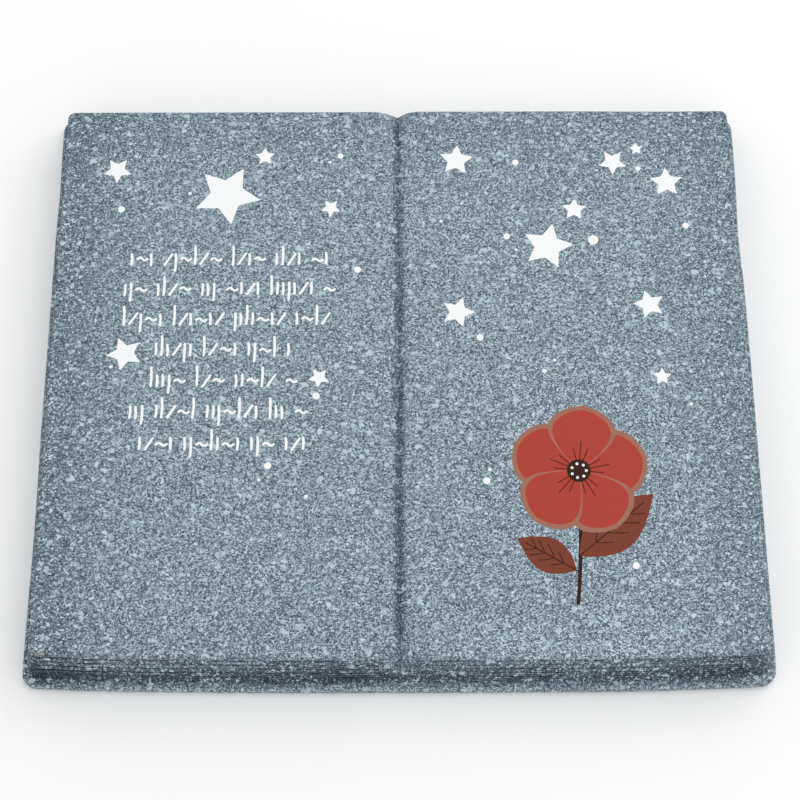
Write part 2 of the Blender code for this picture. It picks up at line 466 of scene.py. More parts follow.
def edge_shares(reach, front):
    """Front or back edge: close columns in the gutter, even ones over the pages."""
    turn = np.linspace(0.0, 1.0, GUTTER_COLUMNS + 1)[1:]
    gutter = reach * turn ** GUTTER_CROWDING
    page = np.linspace(0.0, 1.0, PAGE_COLUMNS + 1)[1:]
    fixed = np.concatenate([gutter, reach * (1.0 - page)])
    straight = np.concatenate([0.0 * gutter, page])
    fixed = np.concatenate([-fixed[::-1], [0.0], fixed])
    straight = np.concatenate([-straight[::-1], [0.0], straight])
    rows = share_rows(fixed, straight, 0.0, front, 1.0 - front, 0.0)
    return rows if front else rows[::-1]


def corner_shares(side, front, start):
    """Inside points of a quarter turn from a start in degrees."""
    angle = np.radians(start + 90.0 * np.arange(1, CORNER_STEPS) / CORNER_STEPS)
    round_y = np.sin(angle) + (1.0 if front else -1.0)
    return share_rows(0.0, side, np.cos(angle), front, 1.0 - front, round_y)


def side_shares(side):
    """Side from the front corner to the back one on the right, and back on the left."""
    share = np.linspace(0.0, 1.0, SIDE_ROWS + 1)
    rows = share_rows(0.0, side, side, 1.0 - share, share, 1.0 - 2.0 * share)
    return rows if side > 0 else rows[::-1]


def outline_shares(reach):
    """Shares of all outline points, turning left from the front edge's left end.

    Side is 1 on the right and -1 on the left, and front is 1 in front and 0 at the back.
    """
    front = [edge_shares(reach, 1.0), corner_shares(1.0, 1.0, -90.0), side_shares(1.0)]
    back = [corner_shares(1.0, 0.0, 0.0), edge_shares(reach, 0.0), corner_shares(-1.0, 0.0, 90.0)]
    return np.concatenate([*front, *back, side_shares(-1.0), corner_shares(-1.0, 1.0, 180.0)])


def outline_points(shares, half_width, front, back, radius):
    """X and y of a rounded rectangle whose points keep their number while its size changes.

    Each coordinate is a sum of fixed shares: x of the straight half width and the corner radius,
    y of the front, the back and the corner radius.
    """
    fixed, straight, round_x, on_front, on_back, round_y = shares.T
    x = fixed + straight * (half_width - radius) + round_x * radius
    y = on_front * front + on_back * back + round_y * radius
    return x, y


def bowed(sizes, x, y):
    """Y with the front edge's bulge: it draws back with the square of x, less towards the back."""
    front_share = (HALF_DEPTH - y) / (2.0 * HALF_DEPTH)
    return y + sizes.front_bow * (x / HALF_WIDTH) ** 2 * front_share


def edge_round(radius):
    """Drop and inset of each step of a quarter round."""
    angle = np.linspace(0.0, 0.5 * math.pi, EDGE_STEPS)
    return radius * (1.0 - np.cos(angle)), radius * (1.0 - np.sin(angle))


def page_lines(sizes, drop, around, side):
    """Depth of the page lines: bell-shaped grooves that waver a little and fade in and out.

    The main lines stand at the full spacing and get weaker towards the foot. Half way between
    them lie faint ones, plainer towards the right side, where the side value is 1.
    """
    height = PAGE_TOP - sizes.cover_thickness
    spacing = 0.5 * sizes.line_spacing
    count = int((height - sizes.first_line - sizes.line_width) / spacing) + 1
    depth = np.zeros((len(drop), len(around)))
    for i in range(count):
        wander = LINE_WANDER * closed_wave(around, (3, 7, 13, 29), seed=20 + i)
        middle = sizes.first_line + i * spacing + wander
        mean = MAIN_STRENGTH - MAIN_LOSS * i if i % 2 == 0 else FAINT_STRENGTH + FAINT_RISE * side
        swing = STRENGTH_SWING * closed_wave(around, (5, 11, 23, 41), seed=40 + i)
        strength = np.clip(mean + swing, LEAST_STRENGTH, 1.0)
        away = (drop - middle) / (LINE_BELL * sizes.line_width)
        depth = np.maximum(depth, sizes.line_depth * strength * np.exp(-away ** 2))
    return depth


def unevenness(sizes, x, y, around):
    """How far the cast edge is set in at each outline point: a small wave and bell-shaped dents."""
    inset = sizes.edge_wave * (0.5 + 0.5 * closed_wave(around, (2, 5, 9, 17), seed=5))
    for dent_x, dent_y, reach_x, reach_y, depth in DENTS:
        away = np.hypot((x - dent_x * MM) / (reach_x * MM), (y - dent_y * MM) / (reach_y * MM))
        inset = inset + depth * MM * np.exp(-away ** 2)
    return inset


def crease_shade(x, run):
    """Painted shade in the crease: most along its middle, and not in its widened front end."""
    past_mouth = smooth_share(run, *CREASE_RANGE)
    fade = CREASE_SHADE - CREASE_SHADE_LOSS * run / (2.0 * HALF_DEPTH)
    return past_mouth * fade * np.exp(-(x / CREASE_HALF_WIDTH) ** 4)


def block_profile(sizes):
    """Drop below the page tops, inset and run from the rim of each row of the page block.

    A flat ring as wide as the gutter's front end is long comes first, then a quarter round, the
    wall and a quarter hollow.
    """
    height = PAGE_TOP - sizes.cover_thickness
    ring_run = sizes.front_mouth_run * (1.0 - np.arange(RING_ROWS) / RING_ROWS) ** RING_CROWDING
    round_drop, round_inset = edge_round(sizes.page_edge)
    wall_drop = np.linspace(sizes.page_edge, height - sizes.foot_fillet, WALL_ROWS + 1)[1:]
    turn = np.linspace(0.0, 0.5 * math.pi, FILLET_STEPS + 1)[1:]
    fillet_drop = height - sizes.foot_fillet * (1.0 - np.sin(turn))
    fillet_inset = -sizes.foot_fillet * (1.0 - np.cos(turn))
    drop = np.concatenate([0.0 * ring_run, round_drop, wall_drop, fillet_drop])
    inset = np.concatenate([sizes.page_edge + ring_run, round_inset, 0.0 * wall_drop, fillet_inset])
    run = np.concatenate([ring_run, np.zeros(len(drop) - RING_ROWS)])
    return drop[:, None], inset[:, None], run[:, None]


def wall_bare_and_shade(sizes, x, drop, around, lines, sideways):
    """How thinly the page wall is sprayed, with painted shade: below the rim, towards its foot and in
    the page lines.

    Below the rim and at the foot it is partly thinner spray and partly painted shade, which come and
    go in patches and grow lighter to the right, as painted light from the right side; along the sides
    only a small share of them is left. In the page lines it is painted shade.
    """
    height = PAGE_TOP - sizes.cover_thickness
    foot_share = smooth_share(drop, FOOT_RANGE[0] * height, FOOT_RANGE[1] * height)
    patches = PATCH_MEAN + PATCH_SWING * closed_wave(around, (4, 9, 15, 31), seed=9)
    # Less to the right: painted light from the right side
    patches = patches - PATCH_LOSS * x / HALF_WIDTH
    rim_share = smooth_share(drop, 0.0, sizes.first_line)
    bare_and_shade = (WALL_BARE_AND_SHADE * rim_share + FOOT_BARE_AND_SHADE * foot_share) * patches
    bare_and_shade = bare_and_shade * (1.0 - (1.0 - SIDE_BARE_AND_SHADE_SHARE) * sideways)
    # Painted shade in the page lines
    return bare_and_shade + LINE_SHADE * lines / sizes.line_depth


def block_rows(sizes, outline, around, uneven):
    """Surface of the page block, from a ring inside the rim of the page tops to its wall's foot.

    Row by row, the outline grows with the wall's lean and shrinks with the rounded edge and the
    page lines. In the gutter each row dips by what is left of the block's height. The sideways
    value is 0 where the wall faces the front or the back and 1 where it faces a side.
    """
    height = PAGE_TOP - sizes.cover_thickness
    drop, inset, run = block_profile(sizes)
    side = outline_points(outline, 1.0, 0.0, 0.0, 0.0)[0]
    sideways = outline_points(outline, 1.0, 0.0, 0.0, 1.0)[0] ** 4
    in_wall = (drop > sizes.page_edge) & (drop < height - sizes.foot_fillet)
    lines = page_lines(sizes, drop, around, side) * (1.0 - (1.0 - SIDE_LINE_SHARE) * sideways)
    lines = lines * in_wall
    inset = inset + lines + uneven
    lean = sizes.wall_lean * (1.0 - drop / height)
    radius = sizes.page_corner + sizes.page_edge - inset + uneven + sizes.wall_lean - lean
    radius = np.maximum(radius, LEAST_RADIUS)
    half_width = HALF_WIDTH - sizes.flange_side - lean - inset
    front = -HALF_DEPTH + sizes.flange_front + lean + inset
    back = HALF_DEPTH - sizes.flange_back - lean - inset
    x, y = outline_points(outline, half_width, front, back, radius)
    front_run = np.where(y < 0.0, run, HALF_DEPTH)
    back_run = np.where(y < 0.0, HALF_DEPTH, run)
    dip = gutter_drop(sizes, x, front_run, back_run) * (1.0 - drop / height)
    y = y + np.sign(y) * sizes.wall_lean * dip / height * (1.0 - run / sizes.front_mouth_run)
    z = PAGE_TOP - drop - dip
    # Thinner spray and painted shade on the wall
    bare_and_shade = wall_bare_and_shade(sizes, x, drop, around, lines, sideways)
    # Painted shade in the crease, fading down the wall
    bare_and_shade = bare_and_shade + crease_shade(x, front_run) * (1.0 - drop / height)
    return np.stack([x, bowed(sizes, x, y), z], axis=2), np.clip(bare_and_shade, 0.0, 1.0)


def cover_rows(sizes, outline, uneven):
    """Surface of the cover, from the top of its rounded edge down to the underside.

    It bulges no further than the solid's box, which leaves room in front beside the middle.
    """
    x, y = outline_points(outline, HALF_WIDTH, -HALF_DEPTH, HALF_DEPTH, sizes.cover_corner)
    in_front = (y < 0.0) & (np.abs(x) < HALF_WIDTH - sizes.cover_corner)
    uneven = np.maximum(uneven, -BULGE_ROOM * sizes.front_bow * (x / HALF_WIDTH) ** 2 * in_front)
    drop, inset = edge_round(sizes.cover_edge)
    middle = np.linspace(sizes.cover_thickness - sizes.cover_edge, sizes.cover_edge, 4)[1:-1]
    z = np.concatenate([sizes.cover_thickness - drop, middle, drop[::-1]])
    inset = np.concatenate([inset, 0.0 * middle, inset[::-1]])[:, None] + uneven
    radius = sizes.cover_corner - inset + uneven
    front, back = -HALF_DEPTH + inset, HALF_DEPTH - inset
    x, y = outline_points(outline, HALF_WIDTH - inset, front, back, radius)
    z = np.broadcast_to(z[:, None], x.shape)
    return np.stack([x, bowed(sizes, x, y), z], axis=2)


def quads_between(grid, closed):
    """Quads between the point numbers of a grid, whose columns are closed to a loop or left open."""
    if closed:
        grid = np.concatenate([grid, grid[:, :1]], axis=1)
    upper, lower = grid[:-1], grid[1:]
    return np.stack([upper[:, :-1], lower[:, :-1], lower[:, 1:], upper[:, 1:]], axis=2).reshape(-1, 4)


def gutter_rows(sizes, rim):
    """Surface of the gutter between the front and back parts of the ring's innermost row.

    Each column runs straight from front to back, as high as the page top less the gutter's drop.
    """
    front_ids = np.arange(PAGE_COLUMNS, EDGE_POINTS - PAGE_COLUMNS)
    back_ids = BACK_START + EDGE_POINTS - 1 - front_ids
    front, back = rim[front_ids], rim[back_ids]
    length = back[:, 1] - front[:, 1]
    share = np.linspace(0.0, 1.0, GUTTER_ROWS + 1)[1:-1, None]
    x = np.broadcast_to(front[:, 0], (len(share), len(front_ids)))
    y = front[:, 1] + share * length
    front_run = sizes.front_mouth_run + share * length
    back_run = sizes.front_mouth_run + (1.0 - share) * length
    z = PAGE_TOP - gutter_drop(sizes, x, front_run, back_run)
    # With the crease's painted shade
    return np.stack([x, y, z], axis=2), crease_shade(x, front_run), front_ids, back_ids


def direction(degrees):
    """Unit vector at this angle from the x axis."""
    angle = math.radians(degrees)
    return np.array([math.cos(angle), math.sin(angle)])


def star_outline(x, y, radius, turn):
    """Five-pointed star: ten corners, a tenth of a turn apart, far and near by turns."""
    step = np.arange(10)
    reach = np.where(step % 2 == 0, radius, radius * STAR_INNER_SHARE)
    angle = math.radians(90.0 + turn) + step * math.tau / 10
    return np.stack([x + reach * np.cos(angle), y + reach * np.sin(angle)], axis=1)


def dot_outline(x, y, radius):
    """Circle."""
    angle = np.arange(DOT_STEPS) * math.tau / DOT_STEPS
    return np.stack([x + radius * np.cos(angle), y + radius * np.sin(angle)], axis=1)


def stroke_outline(path, half_width):
    """Band of even width along a path, with a half circle at each end."""
    along = np.gradient(path, axis=0)
    along = along / np.linalg.norm(along, axis=1, keepdims=True)
    across = np.stack([-along[:, 1], along[:, 0]], axis=1)
    turn = np.linspace(0.0, math.pi, CAP_STEPS)[1:-1, None]
    end = path[-1] + half_width * (np.sin(turn) * along[-1] - np.cos(turn) * across[-1])
    start = path[0] + half_width * (np.cos(turn) * across[0] - np.sin(turn) * along[0])
    right = path - half_width * across
    left = (path + half_width * across)[::-1]
    return np.concatenate([right, end, left, start])


def leaf_outline(base, degrees, length, width, fullness, roundness):
    """Leaf or petal: its half width is a power of a sine along its length.

    Fullness moves the widest place towards the tip. A low roundness makes the ends blunt.
    """
    share = np.linspace(0.0, 1.0, LEAF_STEPS)
    half = 0.5 * width * np.sin(math.pi * share ** fullness) ** roundness
    along = length * share
    line = direction(degrees)
    side = np.array([-line[1], line[0]])
    right = base + along[:, None] * line - half[:, None] * side
    left = base + along[::-1, None] * line + half[::-1, None] * side
    return np.concatenate([right, left[1:-1]])


def stroke_path(kind, x, y, lean):
    """One stroke of the verse: a bar with a slight bend, a slant or a level wave."""
    _, length, start, rise, wave = STROKE_KINDS[kind]
    share = np.linspace(0.0, 1.0, STROKE_STEPS)
    if length:
        path_x = x + length * share
    else:
        path_x = x + lean * share + BAR_BEND * np.sin(math.pi * share)
    path_y = y + start + rise * share + wave * np.sin(math.tau * share)
    return np.stack([path_x, path_y], axis=1)


def verse_paths():
    """Rows of separate strokes in groups in the verse's place, none of them a letter."""
    rng = np.random.default_rng(STROKE_SEED)
    paths = []
    turn = 0
    for row, (left, right) in enumerate(STROKE_ROWS):
        x = left
        y = FIRST_ROW_Y - row * ROW_SPACING
        left_in_group = int(rng.integers(*FIRST_GROUP))
        while x < right - LEAST_ROOM:
            kind = STROKE_ORDER[turn % len(STROKE_ORDER)]
            turn += int(rng.integers(*ORDER_STEP))
            lean = float(rng.uniform(-BAR_LEAN, BAR_LEAN))
            lift = float(rng.uniform(-STROKE_LIFT, STROKE_LIFT))
            room = STROKE_KINDS[kind][0]
            if x + room < right + OVERHANG:
                paths.append(stroke_path(kind, x, y + lift, lean))
            x += room
            left_in_group -= 1
            if left_in_group == 0:
                x += GROUP_GAP
                left_in_group = int(rng.integers(*NEXT_GROUP))
    return paths


def stem_outline():
    """Curved stem: x is the foot's plus three powers of the height's share, each times its gain."""
    share = np.linspace(0.0, 1.0, STEM_STEPS)
    first, second, third = STEM_CURVE
    x = STEM_FOOT[0] + first * share + second * share ** 2 + third * share ** 3
    y = STEM_FOOT[1] + STEM_HEIGHT * share
    return stroke_outline(np.stack([x, y], axis=1), STEM_HALF_WIDTH)


def leaf_shapes(base, degrees, length, width):
    """Leaf with a rib and with veins that bend towards its tip, the longest ones in its middle."""
    base = np.array(base)
    line = direction(degrees)
    rib = base + np.outer(np.linspace(*RIB_RANGE, RIB_STEPS), line) * length
    shapes = [
        (BROWN, leaf_outline(base, degrees, length, width, *LEAF_FORM)),
        (DARK, stroke_outline(rib, RIB_HALF_WIDTH)),
    ]
    bend = np.linspace(0.0, 1.0, VEIN_STEPS)[:, None]
    for side in (-1.0, 1.0):
        vein = direction(degrees + side * VEIN_DEGREES)
        for start in VEIN_STARTS:
            reach = VEIN_REACH * width * math.sin(math.pi * (start + VEIN_SHIFT))
            path = base + line * length * start + vein * reach * bend + line * VEIN_BEND * bend ** 2
            shapes.append((DARK, stroke_outline(path, VEIN_HALF_WIDTH)))
    return shapes


def petal_shapes(centre, degrees):
    """Petal with a rim all round and three rays from the middle of the flower."""
    inner_length = PETAL_LENGTH - PETAL_RIM
    inner_width = PETAL_WIDTH - 2.0 * PETAL_RIM
    shapes = [
        (TAN, leaf_outline(centre, degrees, PETAL_LENGTH, PETAL_WIDTH, *PETAL_FORM)),
        (RED, leaf_outline(centre, degrees, inner_length, inner_width, *PETAL_FORM)),
    ]
    for spread, reach in RAYS:
        ray = direction(degrees + spread)
        path = centre + np.outer(np.linspace(0.0, reach, RAY_STEPS), ray)
        shapes.append((DARK, stroke_outline(path, VEIN_HALF_WIDTH)))
    return shapes


def heart_shapes(centre):
    """Dark heart of the flower with a ring of white dots."""
    shapes = [(DARK, dot_outline(centre[0], centre[1], HEART_RADIUS))]
    for i in range(HEART_DOTS):
        x, y = centre + HEART_RING * direction(360.0 * i / HEART_DOTS)
        shapes.append((WHITE, dot_outline(x, y, HEART_DOT_RADIUS)))
    return shapes


def flower_shapes():
    """Printed flower: stem, leaves, petals laid in steps of two places round it, and heart."""
    centre = np.array(FLOWER_CENTRE)
    shapes = [(DARK, stem_outline())]
    for leaf in LEAVES:
        shapes += leaf_shapes(*leaf)
    for i in range(PETAL_COUNT):
        shapes += petal_shapes(centre, FLOWER_TURN + 360.0 * i * 2 / PETAL_COUNT)
    return shapes + heart_shapes(centre)


def printed_shapes(sizes):
    """All printed shapes as ink, outline in metres and depth, from back to front."""
    flat = [(WHITE, star_outline(*star)) for star in STARS]
    flat += [(WHITE, dot_outline(*dot)) for dot in DOTS]
    flat += flower_shapes()
    shapes = [(ink, outline * MM, 0.0) for ink, outline in flat]
    half = sizes.stroke_width / 2
    for path in verse_paths():
        shapes.append((WHITE, stroke_outline(path * MM, half), 0.0))
        shapes.append((WHITE, stroke_outline(path * MM, STROKE_FLOOR_SHARE * half), sizes.stroke_depth))
    return shapes


def covers(border, outline):
    """Whether the outline's middle lies inside the border's box."""
    middle = outline.mean(axis=0)
    return bool(np.all(middle > border.min(axis=0)) and np.all(middle < border.max(axis=0)))


class Skin:
    """Points and faces of a mesh under construction."""

    def __init__(self):
        self.points = []
        self.bare_and_shade_values = []
        self.faces = []

    def add_points(self, points, bare_and_shade=None):
        """Add points, with how thinly each is sprayed and the shade painted on it, and give their
        numbers.
        """
        first = sum(len(part) for part in self.points)
        points = points.reshape(-1, 3)
        self.points.append(points)
        self.bare_and_shade_values.append(np.zeros(len(points)) if bare_and_shade is None else bare_and_shade.ravel())
        return first + np.arange(len(points))

    def add_faces(self, corners, smooth, ink=STONE):
        """Add faces that all have the same number of corners."""
        self.faces.append((corners, smooth, np.broadcast_to(ink, (len(corners),))))

    def to_mesh(self, name):
        """Mesh of all points and faces, with each point's thin spray and painted shade as an attribute.
        """
        mesh = bpy.data.meshes.new(name)
        points = np.concatenate(self.points)
        counts = np.concatenate([np.full(len(c), c.shape[1]) for c, _, _ in self.faces])
        corners = np.concatenate([c.ravel() for c, _, _ in self.faces])
        smooth = np.concatenate([np.full(len(c), s) for c, s, _ in self.faces])
        inks = np.concatenate([i for _, _, i in self.faces])
        mesh.vertices.add(len(points))
        mesh.vertices.foreach_set("co", points.ravel())
        mesh.loops.add(len(corners))
        mesh.loops.foreach_set("vertex_index", corners)
        mesh.polygons.add(len(counts))
        mesh.polygons.foreach_set("loop_start", np.cumsum(counts) - counts)
        mesh.polygons.foreach_set("material_index", inks)
        mesh.polygons.foreach_set("use_smooth", smooth)
        mesh.update(calc_edges=True)
        bare_and_shade = mesh.attributes.new("bare_and_shade", "FLOAT", "POINT")
        bare_and_shade.data.foreach_set("value", np.concatenate(self.bare_and_shade_values))
        if mesh.validate():
            raise RuntimeError("the casting's mesh had faults")
        return mesh


def fill_page(skin, ids, shapes):
    """Triangles and inks of a flat page or underside inside a closed border of the skin's points.

    The page is cut along the outlines of the shapes that lie in it, and each triangle takes the ink
    of the last shape that covers it.
    """
    border = np.concatenate(skin.points)[ids]
    inside = [shape for shape in shapes if covers(border[:, :2], shape[1])]
    loops = [border[:, :2]] + [outline for _, outline, _ in inside]
    ends = np.cumsum([len(loop) for loop in loops])
    faces = [list(range(end - len(loop), end)) for loop, end in zip(loops, ends)]
    flat = [Vector(point) for point in (np.concatenate(loops) / MM).tolist()]
    result = delaunay_2d_cdt(flat, [], faces, ONLY_INSIDE, CUT_TOLERANCE, True)
    points = np.array([tuple(point) for point in result[0]]) * MM
    source = np.array([numbers[0] if numbers else -1 for numbers in result[3]])
    depths = np.array([0.0] + [depth for _, _, depth in inside])
    depth = np.where(source < 0, 0.0, depths[np.searchsorted(ends, source, side="right") % len(depths)])
    on_border = (source >= 0) & (source < len(border))
    number = np.empty(len(points), dtype=int)
    number[on_border] = ids[source[on_border]]
    fresh = np.column_stack([points, border[0, 2] - depth])[~on_border]
    number[~on_border] = skin.add_points(fresh)
    kept = [(corners, max(owners)) for corners, owners in zip(result[2], result[5]) if 0 in owners]
    inks = np.array([STONE] + [ink for ink, _, _ in inside])
    return number[[corners for corners, _ in kept]], inks[[last for _, last in kept]]


def side_rows(sizes, outline):
    """All rows round the casting, from the page rim to the underside, and how thinly they are sprayed,
    with the painted shade of the wall, its foot, the page lines and the crease.

    Between the page wall's foot and the cover's rounded edge, rows lie on straight lines.
    """
    x, y = outline_points(outline, HALF_WIDTH, -HALF_DEPTH, HALF_DEPTH, sizes.cover_corner)
    step = np.hypot(np.diff(x, append=x[:1]), np.diff(y, append=y[:1]))
    around = (np.cumsum(step) - step) / step.sum()
    uneven = unevenness(sizes, x, y, around)
    block, block_bare_and_shade = block_rows(sizes, outline, around, uneven)
    cover = cover_rows(sizes, outline, uneven)
    share = np.array(FLANGE_ROWS)[:, None, None]
    flange = (1.0 - share) * block[-1:] + share * cover[:1]
    # The wall's painted shadow on the cover in front of its foot, weaker to the right
    flange_shadow = FLANGE_SHADOW - FLANGE_SHADOW_LOSS * block[-1:, :, 0] / HALF_WIDTH
    flange_bare_and_shadow = (1.0 - share[:, :, 0]) * block_bare_and_shade[-1:] * flange_shadow
    cover_bare = np.full(cover.shape[:2], COVER_BARE)
    return np.concatenate([block, flange, cover]), np.concatenate([block_bare_and_shade, flange_bare_and_shadow, cover_bare])


def casting_mesh(sizes):
    """The whole casting as one closed skin: sides, gutter, two pages and the underside."""
    outline = outline_shares(sizes.gutter_reach)
    rows, bare_and_shade = side_rows(sizes, outline)
    skin = Skin()
    side_ids = skin.add_points(rows, bare_and_shade).reshape(rows.shape[:2])
    skin.add_faces(quads_between(side_ids, closed=True), smooth=True)
    rim_ids = side_ids[0]
    gutter, gutter_shade, front_ids, back_ids = gutter_rows(sizes, rows[0])
    gutter_ids = skin.add_points(gutter, gutter_shade).reshape(gutter.shape[:2])
    gutter_ids = np.concatenate([rim_ids[front_ids][None], gutter_ids, rim_ids[back_ids][None]])
    skin.add_faces(quads_between(gutter_ids, closed=False)[:, ::-1], smooth=True)
    shapes = printed_shapes(sizes)
    right_loop = np.concatenate([rim_ids[front_ids[-1]:back_ids[-1] + 1], gutter_ids[-2:0:-1, -1]])
    left_loop = np.concatenate([rim_ids[back_ids[0]:], rim_ids[:front_ids[0] + 1], gutter_ids[1:-1, 0]])
    for loop in (right_loop, left_loop):
        triangles, ink = fill_page(skin, loop, shapes)
        skin.add_faces(triangles, smooth=False, ink=ink)
    triangles, _ = fill_page(skin, side_ids[-1], [])
    skin.add_faces(triangles[:, ::-1], smooth=False)
    return skin.to_mesh("plaque_casting")


def add_node(tree, kind, inputs, **settings):
    """Shader node with its settings; each input is linked to a socket or set to a plain value."""
    node = tree.nodes.new("ShaderNode" + kind)
    for name, value in settings.items():
        setattr(node, name, value)
    for name, value in inputs.items():
        if isinstance(value, bpy.types.NodeSocket):
            tree.links.new(value, node.inputs[name])
        else:
            node.inputs[name].default_value = value
    return node


def add_math(tree, operation, *values, clamp=False):
    """Math node whose inputs are sockets or numbers; gives its output."""
    inputs = dict(enumerate(values))
    return add_node(tree, "Math", inputs, operation=operation, use_clamp=clamp).outputs[0]


def add_noise(tree, vector, scale, detail, roughness):
    """Noise texture; gives its value output."""
    inputs = {"Vector": vector, "Scale": scale, "Detail": detail, "Roughness": roughness}
    return add_node(tree, "TexNoise", inputs).outputs["Fac"]


def add_ramp(tree, value, stops):
    """Colour ramp; gives its colour output."""
    node = add_node(tree, "ValToRGB", {"Fac": value})
    elements = node.color_ramp.elements
    while len(elements) < len(stops):
        elements.new(0.5)
    for element, (position, color) in zip(elements, stops):
        element.position = position
        element.color = (*color, 1.0)
    return node.outputs["Color"]


def mix_colors(tree, share, first, second, blend="MIX"):
    """Mix of two colours by a share; each is a socket or a colour."""
    colors = [(*color, 1.0) if isinstance(color, tuple) else color for color in (first, second)]
    inputs = {0: share, 6: colors[0], 7: colors[1]}
    return add_node(tree, "Mix", inputs, data_type="RGBA", blend_type=blend).outputs[2]


def add_voronoi(tree, vector, scale):
    """Voronoi cells: the distance to the nearest cell's point and two random values per cell."""
    cells = add_node(tree, "TexVoronoi", {"Vector": vector, "Scale": scale})
    channels = add_node(tree, "SeparateColor", {"Color": cells.outputs["Color"]})
    return cells.outputs["Distance"], channels.outputs["Red"], channels.outputs["Green"]


def add_smooth_step(tree, value, low, high):
    """Value from 0 to 1 as the given one goes from low to high."""
    inputs = {"Value": value, "From Min": low, "From Max": high}
    node = add_node(tree, "MapRange", inputs, interpolation_type="SMOOTHSTEP")
    return node.outputs["Result"]


def add_warp(tree, vector, scale, reach):
    """Vector pushed about by a colour noise, so that round cells get ragged edges."""
    noise = add_node(tree, "TexNoise", {"Vector": vector, "Scale": scale, "Detail": 1.0})
    inputs = {0: noise.outputs["Color"], 1: (reach, reach, reach), 2: vector}
    return add_node(tree, "VectorMath", inputs, operation="MULTIPLY_ADD").outputs["Vector"]


def add_droplets(tree, vector, tone, kept, held, droplet):
    """Tone with round droplets over it, at most one in each cell, which only lighten it."""
    scale, smallest, largest, edge, least, more = droplet
    away, first, second = add_voronoi(tree, vector, scale)
    radius = add_math(tree, "MULTIPLY_ADD", first, largest - smallest, smallest)
    inside = add_math(tree, "SUBTRACT", radius, away)
    mask = add_smooth_step(tree, inside, 0.0, edge)
    level = add_math(tree, "MULTIPLY_ADD", second, more, least)
    level = add_math(tree, "MULTIPLY", level, kept)
    gain = add_math(tree, "SUBTRACT", level, tone)
    gain = add_math(tree, "MAXIMUM", gain, 0.0)
    gain = add_math(tree, "MULTIPLY", gain, held)
    return add_math(tree, "MULTIPLY_ADD", gain, mask, tone)


def grain_group():
    """Sprayed stone: small grains with a random tone each, and droplets of three sizes over them.

    The input of how thinly the spray lies, with painted shade added to it, darkens and evens out the
    grains and holds back the droplets.
    """
    group = bpy.data.node_groups.new("Sprayed grain", "ShaderNodeTree")
    group.interface.new_socket("Vector", in_out="INPUT", socket_type="NodeSocketVector")
    for name in ("Bare and shade", "Grain size"):
        group.interface.new_socket(name, in_out="INPUT", socket_type="NodeSocketFloat")
    for name in ("Tone", "Height", "Hue"):
        group.interface.new_socket(name, in_out="OUTPUT", socket_type="NodeSocketFloat")
    start = group.nodes.new("NodeGroupInput")
    end = group.nodes.new("NodeGroupOutput")
    inputs = {0: start.outputs["Vector"], 1: GRAIN_STRETCH}
    stretch = add_node(group, "VectorMath", inputs, operation="MULTIPLY")
    vector = add_warp(group, stretch.outputs["Vector"], *GRAIN_WARP)
    ragged = add_warp(group, vector, *DROPLET_WARP)
    per_grain = add_math(group, "DIVIDE", 1.0, start.outputs["Grain size"])
    _, grain, hue = add_voronoi(group, vector, per_grain)
    grain = add_math(group, "POWER", grain, GRAIN_POWER)
    # Thickness of the spray, less where shade is painted
    thick_and_unshaded = add_math(group, "SUBTRACT", 1.0, start.outputs["Bare and shade"])
    lift = add_math(group, "MULTIPLY_ADD", thick_and_unshaded, *TONE_LIFT)
    spread = add_math(group, "MULTIPLY_ADD", thick_and_unshaded, *TONE_SPREAD)
    kept = add_math(group, "MULTIPLY_ADD", thick_and_unshaded, *DROPLET_TONE)
    held = add_smooth_step(group, thick_and_unshaded, 0.0, FULL_HOLD)
    held = add_math(group, "MULTIPLY_ADD", held, *DROPLET_HOLD)
    tone = add_math(group, "MULTIPLY_ADD", grain, spread, lift)
    for i, droplet in enumerate(DROPLETS):
        tone = add_droplets(group, ragged if i > 0 else vector, tone, kept, held, droplet)
    for name, value in {"Tone": tone, "Height": tone, "Hue": hue}.items():
        group.links.new(value, end.inputs[name])
    return group


def new_material(name, roughness, gloss=0.5):
    """Material with its shader and object coordinates; gloss is how strongly it reflects."""
    material = bpy.data.materials.new(name)
    material.use_nodes = True
    tree = material.node_tree
    shader = tree.nodes["Principled BSDF"]
    shader.inputs["Roughness"].default_value = roughness
    shader.inputs["Specular IOR Level"].default_value = gloss
    place = tree.nodes.new("ShaderNodeTexCoord").outputs["Object"]
    return material, tree, shader, place


def add_bump(tree, shader, height, depth, strength):
    """Bump from a height value."""
    bump = add_node(tree, "Bump", {"Height": height, "Distance": depth, "Strength": strength})
    tree.links.new(bump.outputs["Normal"], shader.inputs["Normal"])


def add_spot(tree, place, centre, reach):
    """Soft round spot, from 1 at its centre to 0 at its reach along x, y and z."""
    scale = tuple(1.0 / r for r in reach)
    shift = tuple(-c / r for c, r in zip(centre, reach))
    inputs = {"Vector": place, "Scale": scale, "Location": shift}
    inputs = {"Vector": add_node(tree, "Mapping", inputs).outputs["Vector"]}
    return add_node(tree, "TexGradient", inputs, gradient_type="SPHERICAL").outputs["Fac"]


def add_shaded_edges(tree, place):
    """Painted shade on the pages towards their edges."""
    axes = add_node(tree, "SeparateXYZ", {"Vector": place})
    total = 0.0
    for axis, half, strength in SHADED_EDGES:
        along = add_math(tree, "DIVIDE", axes.outputs[axis], half)
        share = add_smooth_step(tree, along, *SHADED_EDGE_RANGE)
        total = add_math(tree, "MULTIPLY_ADD", share, strength, total)
    return total


